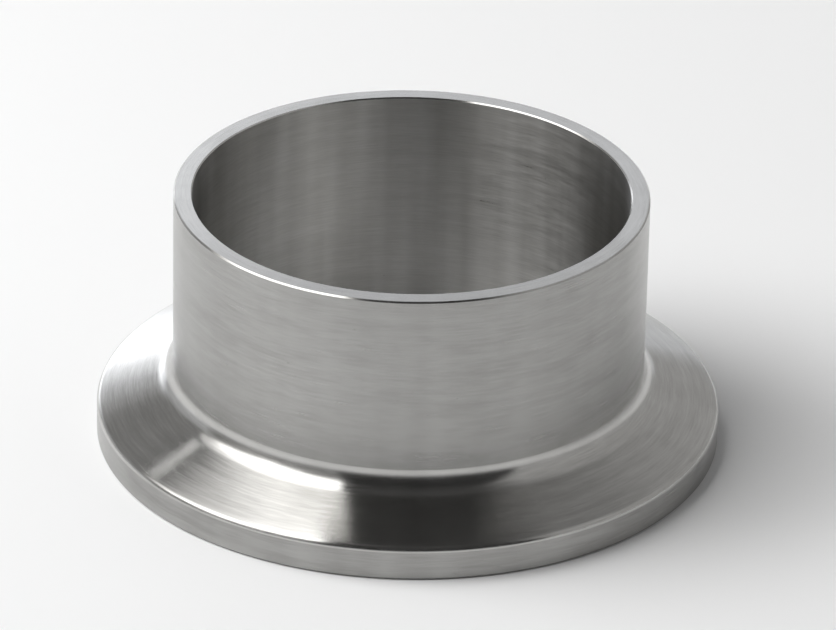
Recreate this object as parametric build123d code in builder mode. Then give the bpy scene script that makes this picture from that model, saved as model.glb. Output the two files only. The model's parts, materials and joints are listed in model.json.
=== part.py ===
from build123d import *

import os
from math import radians, sqrt, tan

# Sanitary clamp ferrule, weld end, turned from one piece of stainless steel.
#
# A short tube stands on a clamp flange. The flange has a flat gasket face with a ring groove
# under it, and a taper on top that the two halves of a clamp wedge against.
#
# Frame: the origin is on the bore's axis in the gasket face, +Z points to the weld end.
# The whole body is one section turned about Z. Lengths are in millimetres.

# Tube, for a nominal one and a half inch line.
tube_diameter = 38.1
wall = 1.5
overall_height = 21.2

# Clamp flange, which stands out from the tube to a diameter of 50.4.
flange_width = 6.15
flange_edge_height = 2.75  # up to the sharp corner of rim and taper
taper_angle = 20.0  # degrees, from the gasket face

# Groove for the gasket's bead, an arc that stays shallower than its radius.
groove_inset = 3.4  # from the rim to the middle of the groove
groove_radius = 2.4
groove_depth = 1.6

# Turned radii, and breaks of the sharp edges, measured along each side.
neck_fillet = 2.0
taper_edge_round = 0.5
face_edge_break = 0.15
groove_edge_break = 0.15
weld_end_outer_break = 0.18
weld_end_inner_break = 0.1
bore_mouth_break = 0.1

tube_radius = tube_diameter / 2
bore_radius = tube_radius - wall
flange_radius = tube_radius + flange_width
groove_centre_radius = flange_radius - groove_inset
groove_centre_height = groove_depth - groove_radius
groove_half_width = sqrt(groove_radius**2 - groove_centre_height**2)
neck_height = flange_edge_height + flange_width * tan(radians(taper_angle))

# Corners of the half section, as (radius, height).
bore_mouth = (bore_radius, 0)
face_edge = (flange_radius, 0)
taper_edge = (flange_radius, flange_edge_height)
neck_corner = (tube_radius, neck_height)
weld_end_outer = (tube_radius, overall_height)
weld_end_inner = (bore_radius, overall_height)


def corner(sketch, point):
    """The sketch's vertex nearest to a point of the half section."""
    return sketch.vertices().sort_by_distance(point)[0]


with BuildPart() as ferrule:
    with BuildSketch(Plane.XZ) as half_section:
        with BuildLine():
            Polyline(
                bore_mouth,
                face_edge,
                taper_edge,
                neck_corner,
                weld_end_outer,
                weld_end_inner,
                close=True,
            )
        make_face()

        # Gasket groove: the arc's centre lies below the face.
        with Locations((groove_centre_radius, groove_centre_height)):
            Circle(groove_radius, mode=Mode.SUBTRACT)
        for side in (-groove_half_width, groove_half_width):
            chamfer(corner(half_section, (groove_centre_radius + side, 0)), groove_edge_break)

        # The neck and the taper's foot are turned to a radius.
        fillet(corner(half_section, neck_corner), neck_fillet)
        fillet(corner(half_section, taper_edge), taper_edge_round)

        # The sharp edges at the weld end and the gasket face are broken.
        chamfer(corner(half_section, weld_end_outer), weld_end_outer_break)
        chamfer(corner(half_section, weld_end_inner), weld_end_inner_break)
        chamfer(corner(half_section, bore_mouth), bore_mouth_break)
        chamfer(corner(half_section, face_edge), face_edge_break)
    revolve(axis=Axis.Z)

ferrule.part.label = "ferrule"

os.makedirs("parts", exist_ok=True)
export_step(ferrule.part, "parts/ferrule.step")
print("ferrule", round(ferrule.part.volume, 1), "mm3", ferrule.part.bounding_box().size)
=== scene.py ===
# %% [markdown]
# # A sanitary clamp ferrule, turned from stainless steel
#
# Two lengths of hygienic tubing are joined by two of these, a gasket between their faces and
# a clamp round their tapered backs. The part is one piece, so the whole look lies in two
# things: a true section, and a finish that shows how the metal was cut. The frame holds the
# solid at its real size. This script dresses it and lights it.

# %% The frame
import json

import bpy
import numpy as np
from mathutils import Matrix, Vector


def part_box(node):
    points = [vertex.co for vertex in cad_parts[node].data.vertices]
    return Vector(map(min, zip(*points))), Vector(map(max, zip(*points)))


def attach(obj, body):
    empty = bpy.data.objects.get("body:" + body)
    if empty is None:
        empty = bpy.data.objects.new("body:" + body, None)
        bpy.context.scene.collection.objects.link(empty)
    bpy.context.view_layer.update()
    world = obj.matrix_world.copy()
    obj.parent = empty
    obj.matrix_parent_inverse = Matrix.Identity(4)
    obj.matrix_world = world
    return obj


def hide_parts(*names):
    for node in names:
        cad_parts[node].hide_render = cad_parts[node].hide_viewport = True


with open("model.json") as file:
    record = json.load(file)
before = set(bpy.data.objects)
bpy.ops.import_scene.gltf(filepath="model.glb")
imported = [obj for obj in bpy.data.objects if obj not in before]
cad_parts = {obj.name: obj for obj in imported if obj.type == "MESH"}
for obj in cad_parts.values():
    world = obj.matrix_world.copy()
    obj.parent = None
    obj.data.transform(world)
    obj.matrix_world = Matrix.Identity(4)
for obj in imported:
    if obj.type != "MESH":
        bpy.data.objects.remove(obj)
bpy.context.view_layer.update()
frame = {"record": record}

# %% [markdown]
# ## Sizes
#
# The overall sizes come from the imported solid and from the mounts of its record, so the
# dressed part can't drift away from the imported solid. What no mount states, such as the
# groove and the small turned radii, is named here once, in millimetres.

# %% Sizes from the frame
MM = 0.001
mounts = {mount["name"]: mount for mount in frame["record"]["mounts"]}
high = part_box("ferrule")[1]
flange_radius = high.x
height = high.z
bore_radius = mounts["bore"]["dims"]["r_mm"] * MM
tube_radius = mounts["weld_end_outside"]["dims"]["r_mm"] * MM
for name, size in (("flange", flange_radius), ("tube", tube_radius), ("bore", bore_radius)):
    print(name, "radius", round(size / MM, 2), "mm")
print("height", round(height / MM, 2), "mm")

# %% Sizes of the turned details
taper_angle = np.radians(20)  # the back of the flange, from the gasket face
flange_edge = 2.75 * MM  # height of the sharp corner of rim and taper
neck_radius = 2.0 * MM
taper_edge_radius = 0.5 * MM
rim_break = 0.15 * MM  # the rim's foot, at the gasket face
groove_break = 0.15 * MM
weld_outer_break = 0.12 * MM  # finer than the solid's 0.18, as it catches a thinner glint
weld_inner_break = 0.1 * MM
mouth_break = 0.1 * MM
groove_inset = 3.4 * MM  # from the rim to the middle of the groove
groove_radius = 2.4 * MM
groove_depth = 1.6 * MM
print("taper", round(np.degrees(taper_angle)), "degrees, groove", groove_depth / MM, "mm deep")

# %% [markdown]
# ## The section
#
# A lathe cuts a part like this from one bar: the tool follows the section while the bar
# turns. The section is drawn the same way, as one closed path of radius and height. It is
# made of straight runs, rounded at the corners with arcs that meet both runs, and one arc
# for the gasket groove. A curve drawn by hand would do for a sketch, but steel shows every
# unevenness of its curves, so the arcs are worked out. Each run has a name, which later
# says what finish it gets.


# %% Rounding a corner
def rounded(before, corner, after, radius, steps):
    """Points of the arc of a radius that touches both runs at a corner.

    The arc's centre lies on the line that halves the corner, radius / sin(half the corner's
    angle) away from it. The points turn evenly from one touching point to the other.
    """
    before, corner, after = (np.array(point) for point in (before, corner, after))
    back = (before - corner) / np.linalg.norm(before - corner)
    on = (after - corner) / np.linalg.norm(after - corner)
    half = np.arccos(np.clip(back @ on, -1, 1)) / 2
    middle = (back + on) / np.linalg.norm(back + on)
    centre = corner + middle * radius / np.sin(half)
    start = corner + back * radius / np.tan(half) - centre
    end = corner + on * radius / np.tan(half) - centre
    sweep = np.arctan2(start[0] * end[1] - start[1] * end[0], start @ end)
    turn = np.linspace(0, sweep, steps)
    spin = np.array([np.cos(turn), np.sin(turn)])
    return centre + np.stack([start[0] * spin[0] - start[1] * spin[1],
                              start[0] * spin[1] + start[1] * spin[0]], 1)


trial = rounded((0, 0), (1, 0), (1, 1), radius=1, steps=3)
print("a square corner rounded by its side:", trial.round(3).tolist())


# %% The section's corners and arcs
TAPER_EDGE_POINTS = 13
NECK_POINTS = 25
GROOVE_POINTS = 33
neck_height = flange_edge + (flange_radius - tube_radius) * np.tan(taper_angle)
groove_centre = np.array([flange_radius - groove_inset, groove_depth - groove_radius])
half_opening = np.arccos((groove_radius - groove_depth) / groove_radius)
groove_turn = np.linspace(half_opening, -half_opening, GROOVE_POINTS)
groove = groove_centre + groove_radius * np.stack([-np.sin(groove_turn), np.cos(groove_turn)], 1)

rim_corner = (flange_radius, flange_edge)
neck_corner = (tube_radius, neck_height)
taper_edge = rounded((flange_radius, 0), rim_corner, neck_corner,
                     taper_edge_radius, TAPER_EDGE_POINTS)
neck = rounded(rim_corner, neck_corner, (tube_radius, height), neck_radius, NECK_POINTS)
print("neck corner", round(neck_height / MM, 2), "mm up")

# %% The section's runs, from the bore's mouth round to the bore's top
section = {
    "mouth_break": [(bore_radius, mouth_break), (bore_radius + mouth_break, 0)],
    "gasket_face": [(groove[0][0] - groove_break, 0)],
    "groove": groove[1:-1],
    "outer_face": [(groove[-1][0] + groove_break, 0), (flange_radius - rim_break, 0)],
    "rim": [(flange_radius, rim_break), taper_edge[0]],
    "taper_edge": taper_edge[1:],
    "taper": [neck[0]],
    "neck": neck[1:],
    "tube": [(tube_radius, height - weld_outer_break)],
    "outer_break": [(tube_radius - weld_outer_break, height)],
    "weld_face": [(bore_radius + weld_inner_break, height)],
    "inner_break": [(bore_radius, height - weld_inner_break)],
}
print("section", sum(len(run) for run in section.values()), "points in", len(section), "runs")

# %% [markdown]
# ## The turned body
#
# Carrying the section round the axis is exactly what the lathe does. A Screw modifier on the
# path would do it too, but it can't say how far along the section a point lies. That
# distance, and not the height, is what the cutting tool follows, so the grain is worked out
# from it. Here the whole grid is one array, and each point keeps its distance. The runs are
# first split into short spans, so that no face is long and thin. The small turns within an
# arc are shaded smooth, and the corners of the breaks stay sharp, as a tool leaves them.


# %% Splitting the runs
def split(points, longest):
    """The closed path through points, with each span split evenly until none is too long.

    Returns the points and, for each span, the number of the span that it was cut from.
    """
    points = np.array([tuple(point) for point in points])
    spans = np.roll(points, -1, axis=0) - points
    parts = np.maximum(1, np.ceil(np.linalg.norm(spans, axis=1) / longest)).astype(int)
    source = np.repeat(np.arange(len(points)), parts)
    first = np.cumsum(parts) - parts
    share = (np.arange(parts.sum()) - first[source]) / parts[source]
    return points[source] + spans[source] * share[:, None], source


trial, _ = split([(0, 0), (1, 0), (1, 1), (0, 1)], longest=0.4)
print("a square split at 0.4 of its side has", len(trial), "points")


# %% The finishes of the runs
FINISH = {
    "mouth_break": "polished_breaks",
    "gasket_face": "faced_ends",
    "groove": "faced_ends",
    "outer_face": "faced_ends",
    "rim": "turned_rim",
    "taper_edge": "polished_breaks",
    "taper": "turned_taper",
    "neck": "turned_taper",
    "tube": "satin_sides",
    "outer_break": "polished_breaks",
    "weld_face": "faced_ends",
    "inner_break": "polished_breaks",
    "bore": "honed_bore",
}
finishes = list(dict.fromkeys(FINISH.values()))
corner_points = [point for run in section.values() for point in run]
span_runs = [name for name, run in section.items() for _ in run][1:] + ["bore"]
print("finishes", finishes)


# %% The turned grid
def turned_grid(path, around):
    """A closed path carried round Z: the grid of its points, and its faces.

    A point is (radius cos a, radius sin a, height), with a going once round. Each face joins
    a step of the path to a step round, against the path's direction, so that it faces
    outwards.
    """
    angle = np.arange(around) * 2 * np.pi / around
    ring = np.stack([np.cos(angle), np.sin(angle)], 1)
    grid = np.empty((len(path), around, 3))
    grid[:, :, :2] = path[:, None, :1] * ring
    grid[:, :, 2] = path[:, None, 1]
    i, j = np.meshgrid(np.arange(len(path)), np.arange(around), indexing="ij")
    ring_here, ring_on = i * around, (i + 1) % len(path) * around
    j_on = (j + 1) % around
    faces = np.stack([ring_here + j, ring_here + j_on, ring_on + j_on, ring_on + j], -1)
    return grid, faces


trial, quads = turned_grid(np.array([(1, 0), (2, 0), (2, 1), (1, 1)]), around=6)
print("a square ring turned in 6 steps has", quads.size // 4, "faces")


# %% Turning the body
def turned(name, points, spans, longest, around):
    """A closed section turned about Z, as an object whose faces know their finish.

    Each point stores how far along the section it lies, in millimetres: the sum of the
    lengths of the steps before it.
    """
    path, source = split(points, longest)
    grid, faces = turned_grid(path, around)
    mesh = bpy.data.meshes.new(name)
    mesh.vertices.add(grid.size // 3)
    mesh.vertices.foreach_set("co", grid.ravel())
    mesh.loops.add(faces.size)
    mesh.loops.foreach_set("vertex_index", faces.ravel())
    mesh.polygons.add(faces.size // 4)
    mesh.polygons.foreach_set("loop_start", np.arange(0, faces.size, 4))
    slots = [finishes.index(FINISH[spans[k]]) for k in source]
    mesh.polygons.foreach_set("material_index", np.repeat(slots, around))
    mesh.update(calc_edges=True)
    mesh.validate()
    steps = np.linalg.norm(np.diff(path, axis=0), axis=1)
    along = np.concatenate([[0], np.cumsum(steps)]) / MM
    kept = mesh.attributes.new("along", "FLOAT", "POINT")
    kept.data.foreach_set("value", np.repeat(along, around))
    piece = bpy.data.objects.new(name, mesh)
    bpy.context.scene.collection.objects.link(piece)
    return piece


# %% The body and its sharp edges
LONGEST_SPAN = 0.6 * MM
STEPS_AROUND = 640
SHARP_ANGLE = np.radians(12)  # more than any turn within an arc, less than a corner
body = turned("turned_body", corner_points, span_runs, LONGEST_SPAN, STEPS_AROUND)
body.data.shade_smooth()
body.data.set_sharp_from_angle(angle=SHARP_ANGLE)
print("turned body", 2 * len(body.data.polygons), "triangles")
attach(body, "root")
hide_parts("ferrule")

# %% [markdown]
# ## Writing a material as sums
#
# A finish is a small sum: so much grain, so much stain, a few pits. Its nodes could be laid
# out by hand in the shader editor, but a long sum is easier to read as a sum. The class
# below lets it be written as Python, and each operation adds the node that does it.


# %% Shader values
class Value:
    """A number in a shader. Its operators add Math nodes, and node() adds any other node."""

    def __init__(self, tree, socket=None):
        self.tree = tree
        self.socket = socket

    def node(self, kind, inputs=(), output=0, **settings):
        """A node of a kind, with its settings set first and then the values of its sockets."""
        made = self.tree.nodes.new(kind)
        for name, setting in settings.items():
            setattr(made, name, setting)
        for name, given in dict(inputs).items():
            if isinstance(given, Value):
                self.tree.links.new(given.socket, made.inputs[name])
            else:
                made.inputs[name].default_value = given
        return Value(self.tree, made.outputs[output])

    def maths(self, operation, *others):
        return self.node("ShaderNodeMath", dict(enumerate([self, *others])), operation=operation)

    def __add__(self, other):
        return self.maths("ADD", other)

    def __mul__(self, other):
        return self.maths("MULTIPLY", other)

    def __sub__(self, other):
        return self.maths("SUBTRACT", other)

    def __truediv__(self, other):
        return self.maths("DIVIDE", other)

    def __rsub__(self, other):
        return self * -1 + other

    __radd__ = __add__
    __rmul__ = __mul__

    def at_least(self, other):
        return self.maths("MAXIMUM", other)

    def between(self, start, end):
        """0 below start, 1 above end and a smooth rise between. The ends may be swapped."""
        inputs = {"Value": self, "From Min": start, "From Max": end}
        return self.node("ShaderNodeMapRange", inputs, interpolation_type="SMOOTHSTEP")

    def mixed(self, low_colour, high_colour):
        """The colour that is this share of the way from one colour to another."""
        inputs = {0: self, 6: (*low_colour, 1), 7: (*high_colour, 1)}
        return self.node("ShaderNodeMix", inputs, output=2, data_type="RGBA")


# %% [markdown]
# ## Turned steel
#
# A cutting tool leaves a fine thread round the part, and polishing goes round as well. The
# lines are far too fine to see one by one, but they spread a reflection across themselves,
# from the foot of the tube to its top, and leave it sharp round the part. That is what the
# anisotropy of the shader is for, with its tangent set round the axis and turned by a
# quarter, so that the spread runs along the section.
#
# What is seen of the lines is added as a noise that is stretched round the axis: its place
# is read from the angle, which it crosses slowly, and from the distance along the section,
# which it crosses fast. A scanned picture of brushed steel could be wrapped round instead,
# but it would show a seam, and its lines would not follow the neck into the taper.


# %% Noise that follows the tool
TURNS = 5.0  # how often the grain changes round the part


def tool_noise(along, cosine, sine, turns, per_mm, detail=2.0, slope=0.0):
    """Noise that changes turns times round the part and per_mm times in a millimetre.

    Its place is (turns cos a, turns sin a, per_mm (along + slope cos a)), where a is the
    angle round the part. A slope lets the lines wander off the exact circle.
    """
    inputs = {"X": cosine * turns, "Y": sine * turns, "Z": (along + cosine * slope) * per_mm}
    where = along.node("ShaderNodeCombineXYZ", inputs)
    look = {"Vector": where, "Scale": 1.0, "Detail": detail, "Roughness": 0.65}
    return along.node("ShaderNodeTexNoise", look)


print("grain changes", TURNS, "times round the part")

# %% [markdown]
# A finish adds five of these up. Hairs are the finest lines, and are felt in the relief
# alone. Lines are the tool's own, and bands are groups of them, where it cut a little
# harder. Streaks run across the lines, along the section. Blotches are wide, soft and dull.
# Pits are single small marks. Noise stays within a tenth or so of its middle, so the sums
# strengthen it before it mixes the two colours.

# %% Numbers of the steel
STEEL_DARK = (0.43, 0.425, 0.41)
STEEL_LIGHT = (0.67, 0.665, 0.65)
MICRON = 1e-6
HAIR_SHARE = 0.4  # of the relief, and the rest is grain
BAND_SHARE = 0.4  # of the grain, and the rest is lines
PIT_CELLS = 350.0  # cells of the pit pattern in a metre, with one pit in each
PIT_EDGE = (0.035, 0.02)  # a pit's edge and its floor, as shares of a cell
LINE_GAIN, STREAK_GAIN = 5, 2
BLOTCH_DEPTH, PIT_DEPTH = 0.4, 2
ROUGHER_GRAIN, ROUGHER_BLOTCH = 0.8, 0.04
QUARTER_TURN = 0.25
print("steel from", STEEL_DARK, "to", STEEL_LIGHT)


# %% The steel's builder
def turned_steel(name, roughness, spread, relief, painted_shade_factor=1.0, lines=9.0, line_tone=0.6,
                 streaks=0.3, stains=0.3, pits=0.0):
    """Stainless steel cut or polished round its axis.

    spread is the shader's anisotropy. The grain's lines are relief microns high and come
    about lines times in a millimetre. line_tone, streaks, stains and pits say how much the
    lines, the streaks across them, the blotches and the small marks show, from 0 to 1. The
    shade factor scales both steel colours down: painted shade, which sets how dark each
    finish comes out in this studio.
    """
    material = bpy.data.materials.new(name)
    material.use_nodes = True
    tree = material.node_tree
    tree.nodes.clear()
    blank = Value(tree)
    place = blank.node("ShaderNodeTexCoord", output="Object")
    along = blank.node("ShaderNodeAttribute", output="Fac", attribute_name="along")
    x, y = (blank.node("ShaderNodeSeparateXYZ", {0: place}, output=axis) for axis in range(2))
    reach = (x * x + y * y).maths("SQRT")
    spot = (along, x / reach, y / reach)

    hair = tool_noise(*spot, TURNS, lines * 3)
    line = tool_noise(*spot, TURNS * 1.6, lines, detail=3.0, slope=0.05)
    band = tool_noise(*spot, TURNS * 0.4, lines / 6, slope=0.15)
    grain = line * (1 - BAND_SHARE) + band * BAND_SHARE - 0.5
    streak = tool_noise(*spot, 7.0, 0.03, detail=1.5) - 0.5
    blotch = tool_noise(*spot, 3.5, 0.7, detail=3.0).between(0.40, 0.75) * stains
    marks = blank.node("ShaderNodeTexVoronoi", {"Vector": place, "Scale": PIT_CELLS})
    pit = marks.between(*PIT_EDGE) * pits

    tone = grain * (LINE_GAIN * line_tone) + streak * (STREAK_GAIN * streaks)
    tone = tone - blotch * BLOTCH_DEPTH - pit * PIT_DEPTH + 0.5
    # Painted shade: the shade factor scales both steel colours down.
    dark, light = ([painted_shade_factor * part for part in colour] for colour in (STEEL_DARK, STEEL_LIGHT))
    surface = hair * HAIR_SHARE + grain * (1 - HAIR_SHARE) - pit * PIT_DEPTH
    bumps = {"Height": surface, "Strength": 1.0, "Distance": relief * MICRON}
    rougher = grain * (ROUGHER_GRAIN * roughness) + blotch * ROUGHER_BLOTCH
    sockets = {
        "Base Color": tone.between(-0.5, 1.5).mixed(dark, light),
        "Metallic": 1.0,
        "Roughness": rougher + roughness,
        "Normal": blank.node("ShaderNodeBump", bumps),
        "Anisotropic": spread,
        "Anisotropic Rotation": QUARTER_TURN,
        "Tangent": blank.node("ShaderNodeTangent", direction_type="RADIAL", axis="Z"),
    }
    shader = blank.node("ShaderNodeBsdfPrincipled", sockets)
    output = tree.nodes.new("ShaderNodeOutputMaterial")
    tree.links.new(shader.socket, output.inputs["Surface"])
    print("finish", name, len(tree.nodes), "nodes")
    return material


# %% [markdown]
# The tube was brushed to a satin, and painted shade darkens its colour. The rim's colour is
# darkened a little more, as painted shade for the shaded paper close in front of it. The end
# faces and the taper were left as the tool cut them, so they keep sharper reflections. They
# are brighter too, as less painted shade darkens the end faces, and none the taper.
# The breaks throw thin glints. The bore was honed: its lines are fine and shallow, and its
# reflections are drawn out from top to bottom, in bands. One material with masks could hold
# them all, but a material for each run keeps every finish a short list of numbers.

# %% The finishes
# The shade factors are painted shade: they darken the colours of the sides, the rim, the end
# faces and, by a hair, the bore.
steel = {
    "satin_sides": turned_steel(
        "satin_sides", roughness=0.24, spread=0.95, relief=5.0, painted_shade_factor=0.75, line_tone=0.5,
        stains=0.5, pits=0.5),
    "turned_rim": turned_steel(
        "turned_rim", roughness=0.24, spread=0.95, relief=4.0, painted_shade_factor=0.71, streaks=0.6,
        stains=0.5),
    "faced_ends": turned_steel(
        "faced_ends", roughness=0.12, spread=0.95, relief=2.5, painted_shade_factor=0.83, lines=8.0,
        line_tone=0.35),
    "turned_taper": turned_steel(
        "turned_taper", roughness=0.15, spread=1.0, relief=4.0, line_tone=0.45),
    "polished_breaks": turned_steel(
        "polished_breaks", roughness=0.20, spread=0.9, relief=0.5, lines=8.0),
    "honed_bore": turned_steel(
        "honed_bore", roughness=0.32, spread=1.0, relief=1.5, painted_shade_factor=0.99, line_tone=0.4,
        streaks=1.0, pits=0.2),
}
for finish in finishes:
    body.data.materials.append(steel[finish])
print("body wears", [material.name for material in body.data.materials])

# %% [markdown]
# ## The floor
#
# The part stands on pale matt paper, which carries its shadow. The tube and the rim look
# down on it, so it is also what gives them their grey, together with the painted shade in
# their colour. A curved sweep of paper, as in a real studio, would bring its own gradient
# into the metal; one flat sheet is enough. It lies a hair below the gasket face, so that the
# two never share a plane.

# %% The paper
FLOOR_SIZE = 4.0
FLOOR_LEVEL = -0.02 * MM
PAPER_COLOUR = (0.915, 0.92, 0.925)
PAPER_ROUGHNESS = 0.9
half = FLOOR_SIZE / 2
outline = ((-half, -half), (half, -half), (half, half), (-half, half))
corners = [(x, y, FLOOR_LEVEL) for x, y in outline]
sheet = bpy.data.meshes.new("floor")
sheet.from_pydata(corners, [], [(0, 1, 2, 3)])
floor = bpy.data.objects.new("floor", sheet)
bpy.context.scene.collection.objects.link(floor)
paper = bpy.data.materials.new("pale_paper")
paper.use_nodes = True
look = paper.node_tree.nodes["Principled BSDF"].inputs
look["Base Color"].default_value = (*PAPER_COLOUR, 1)
look["Roughness"].default_value = PAPER_ROUGHNESS
look["Specular IOR Level"].default_value = 0.0  # paper this matt has no sheen
sheet.materials.append(paper)
print("floor", FLOOR_SIZE, "m square")

# %% [markdown]
# ## The studio
#
# Polished metal shows its surroundings, so the lighting is drawn as surroundings, on the
# world round the part. Glowing boards could be built and hung round it, but they would have
# to be kept out of the camera's sight and out of the model that is handed on. Drawn on the
# world, a board is a soft-edged patch of directions, and its edges can be put exactly where
# the metal needs them.
#
# A direction has a part to the side, to the back and up. Flat things overhead are laid out
# on a ceiling, at side / up and back / up, as on a plan.

# %% The studio's directions
NEARLY_LEVEL = 0.05  # keeps the divisions below from running away
CAMERA_BACK = 0.9  # about the cosine of the camera's elevation
world = bpy.data.worlds.new("studio")
bpy.context.scene.world = world
world.use_nodes = True
tree = world.node_tree
tree.nodes.clear()
sky = Value(tree)
direction = sky.node("ShaderNodeTexCoord", output="Generated")
side, back, up = (
    sky.node("ShaderNodeSeparateXYZ", {0: direction}, output=axis) for axis in range(3)
)
left, front = side * -1, back * -1
plan_side = side / up.at_least(NEARLY_LEVEL)
plan_back = back / up.at_least(NEARLY_LEVEL)
turn = side / (CAMERA_BACK - back).at_least(NEARLY_LEVEL)
print("directions", len(tree.nodes), "nodes")

# %% [markdown]
# The card is a bright board that stands low behind the part and lights the end face. Its
# upper edge tilts and drops at both ends, and it fades to the right. The glow is a lamp
# behind the card, to the left.

# %% The card and the glow
CARD_TILT = 0.2
RIGHT_DROP, LEFT_DROP = 0.25, 0.28
CARD_LEVEL, RIGHT_FADE = 1.6, 0.95
GLOW_LEVEL = 0.85
END_LEVEL = 0.2  # what is left of both beyond the card's left end
card_rise = (up + side * CARD_TILT + side.between(0.05, 0.30) * RIGHT_DROP
             + left.between(0.05, 0.30) * LEFT_DROP)
card_fade = CARD_LEVEL - side.between(-0.10, 0.20) * RIGHT_FADE
card = card_rise.between(0.53, 0.42) * card_fade
glow = left.between(0.10, 0.30) * up.between(0.58, 0.20) * GLOW_LEVEL
ends = side.between(0.60, 0.35) * (left.between(0.62, 0.40) * (1 - END_LEVEL) + END_LEVEL)
behind = (card + glow) * ends * back.between(0.0, 0.3)
print("with the card and the glow", len(tree.nodes), "nodes")

# %% [markdown]
# The walls to the right and left are dim. They stop at a gap in front, where the room is
# dark, as it is round a camera.

# %% The walls
WALL_LEVEL = 0.2
RIGHT_STEP = 0.16  # what the right wall adds past an edge of its own, along one turn
gap = (front - (left * 1.6).at_least(side * 0.8)).between(-0.05, 0.1)
right_wall = turn.between(0.27, 0.60) * RIGHT_STEP + plan_side.between(0.3, 0.8) * WALL_LEVEL
left_wall = plan_side.between(-0.25, -0.5) * WALL_LEVEL
walls = right_wall.at_least(left_wall) * (1 - gap)
print("with the walls", len(tree.nodes), "nodes")

# %% [markdown]
# The panel hangs overhead to the left, and its straight edge makes the step on the taper.
# That edge follows one value of turn, which is side / (cosine of the camera's elevation -
# back). All the directions that one place on the taper spreads its reflection over share
# that value, so the spread never blurs the step.

# %% The panel
PANEL_LEVEL, PANEL_RISE = 0.9, 2.0  # its level at the back, and what it gains to the front
panel_width = turn.between(-0.255, -0.285) * plan_side.between(-2.1, -1.7)
panel_depth = plan_back.between(0.80, 0.68) * plan_back.between(-0.95, -0.7)
panel_level = plan_back.between(0.65, 0.15) * PANEL_RISE + PANEL_LEVEL
panel = panel_width * panel_depth * panel_level * up.between(0.2, 0.3)
print("with the panel", len(tree.nodes), "nodes")

# %% [markdown]
# The rest of the room is nearly dark, and darkest in front. The card and the glow are
# slightly cool and everything else is slightly warm, so the steel isn't one flat grey.

# %% The world
WARM_LIGHT = (1.0, 0.992, 0.982)
COOL_LIGHT = (0.96, 0.98, 1.02)
ROOM_FRONT, ROOM_RISE = 0.03, 0.045
room = back.between(-0.9, -0.3) * ROOM_RISE + ROOM_FRONT
light = behind.at_least(walls).at_least(panel) + room
tint = behind.between(0.1, 0.8).mixed(WARM_LIGHT, COOL_LIGHT)
shell = sky.node("ShaderNodeBackground", {"Color": tint, "Strength": light})
output = tree.nodes.new("ShaderNodeOutputWorld")
tree.links.new(shell.socket, output.inputs["Surface"])
print("world", len(tree.nodes), "nodes")

# %% [markdown]
# Two lamps stand in the room. A bare bulb behind draws one radial streak on the taper. It
# could be drawn on the world too, but so small a light would come out noisy there. A soft
# fill from the left lights the paper, stronger on its own side, and isn't seen in the
# metal, which has the drawn studio to reflect.


# %% The lamps
def square_lamp(name, centre, size, watts, in_metal=True):
    """A square lamp at a centre, which faces the part."""
    lamp = bpy.data.lights.new(name, "AREA")
    lamp.size = size
    lamp.energy = watts
    holder = bpy.data.objects.new(name, lamp)
    holder.location = centre
    holder.rotation_euler = Vector(centre).to_track_quat("Z", "Y").to_euler()
    holder.visible_glossy = in_metal
    holder.visible_camera = False
    bpy.context.scene.collection.objects.link(holder)
    print("lamp", name, watts, "W")


square_lamp("bulb", (-0.319, 0.587, 0.609), size=0.026, watts=0.014)
square_lamp("fill", (-0.27, 0.04, 0.20), size=0.25, watts=0.66, in_metal=False)

# %% [markdown]
# ## The camera
#
# The camera stands in front with a long lens, looking down at the part with a slight roll.
# It could be turned by a constraint that tracks an empty, but its place and its turn follow
# from four sizes: how high it stands, how far away, what it looks at and how it rolls.

# %% The camera
CAMERA_ELEVATION = np.radians(27.49)
CAMERA_ROLL = np.radians(1.198)
CAMERA_DISTANCE = 540.2 * MM
CAMERA_TARGET = Vector((0.686, 0, 10.206)) * MM
CAMERA_LENS, SENSOR_WIDTH = 288.6, 36.0  # in millimetres, as Blender takes them
NEAREST_SEEN = 0.01
camera = bpy.data.cameras.new("camera")
camera.lens = CAMERA_LENS
camera.sensor_width = SENSOR_WIDTH
camera.clip_start = NEAREST_SEEN
stand = bpy.data.objects.new("camera", camera)
towards_camera = Vector((0, -np.cos(CAMERA_ELEVATION), np.sin(CAMERA_ELEVATION)))
stand.location = CAMERA_TARGET + CAMERA_DISTANCE * towards_camera
pitch = Matrix.Rotation(np.pi / 2 - CAMERA_ELEVATION, 3, "X")
stand.rotation_euler = (pitch @ Matrix.Rotation(CAMERA_ROLL, 3, "Z")).to_euler()
bpy.context.scene.collection.objects.link(stand)
bpy.context.scene.camera = stand
bpy.context.scene.view_settings.view_transform = "Standard"
print("camera", round(CAMERA_DISTANCE / MM), "mm away, lens", camera.lens, "mm")
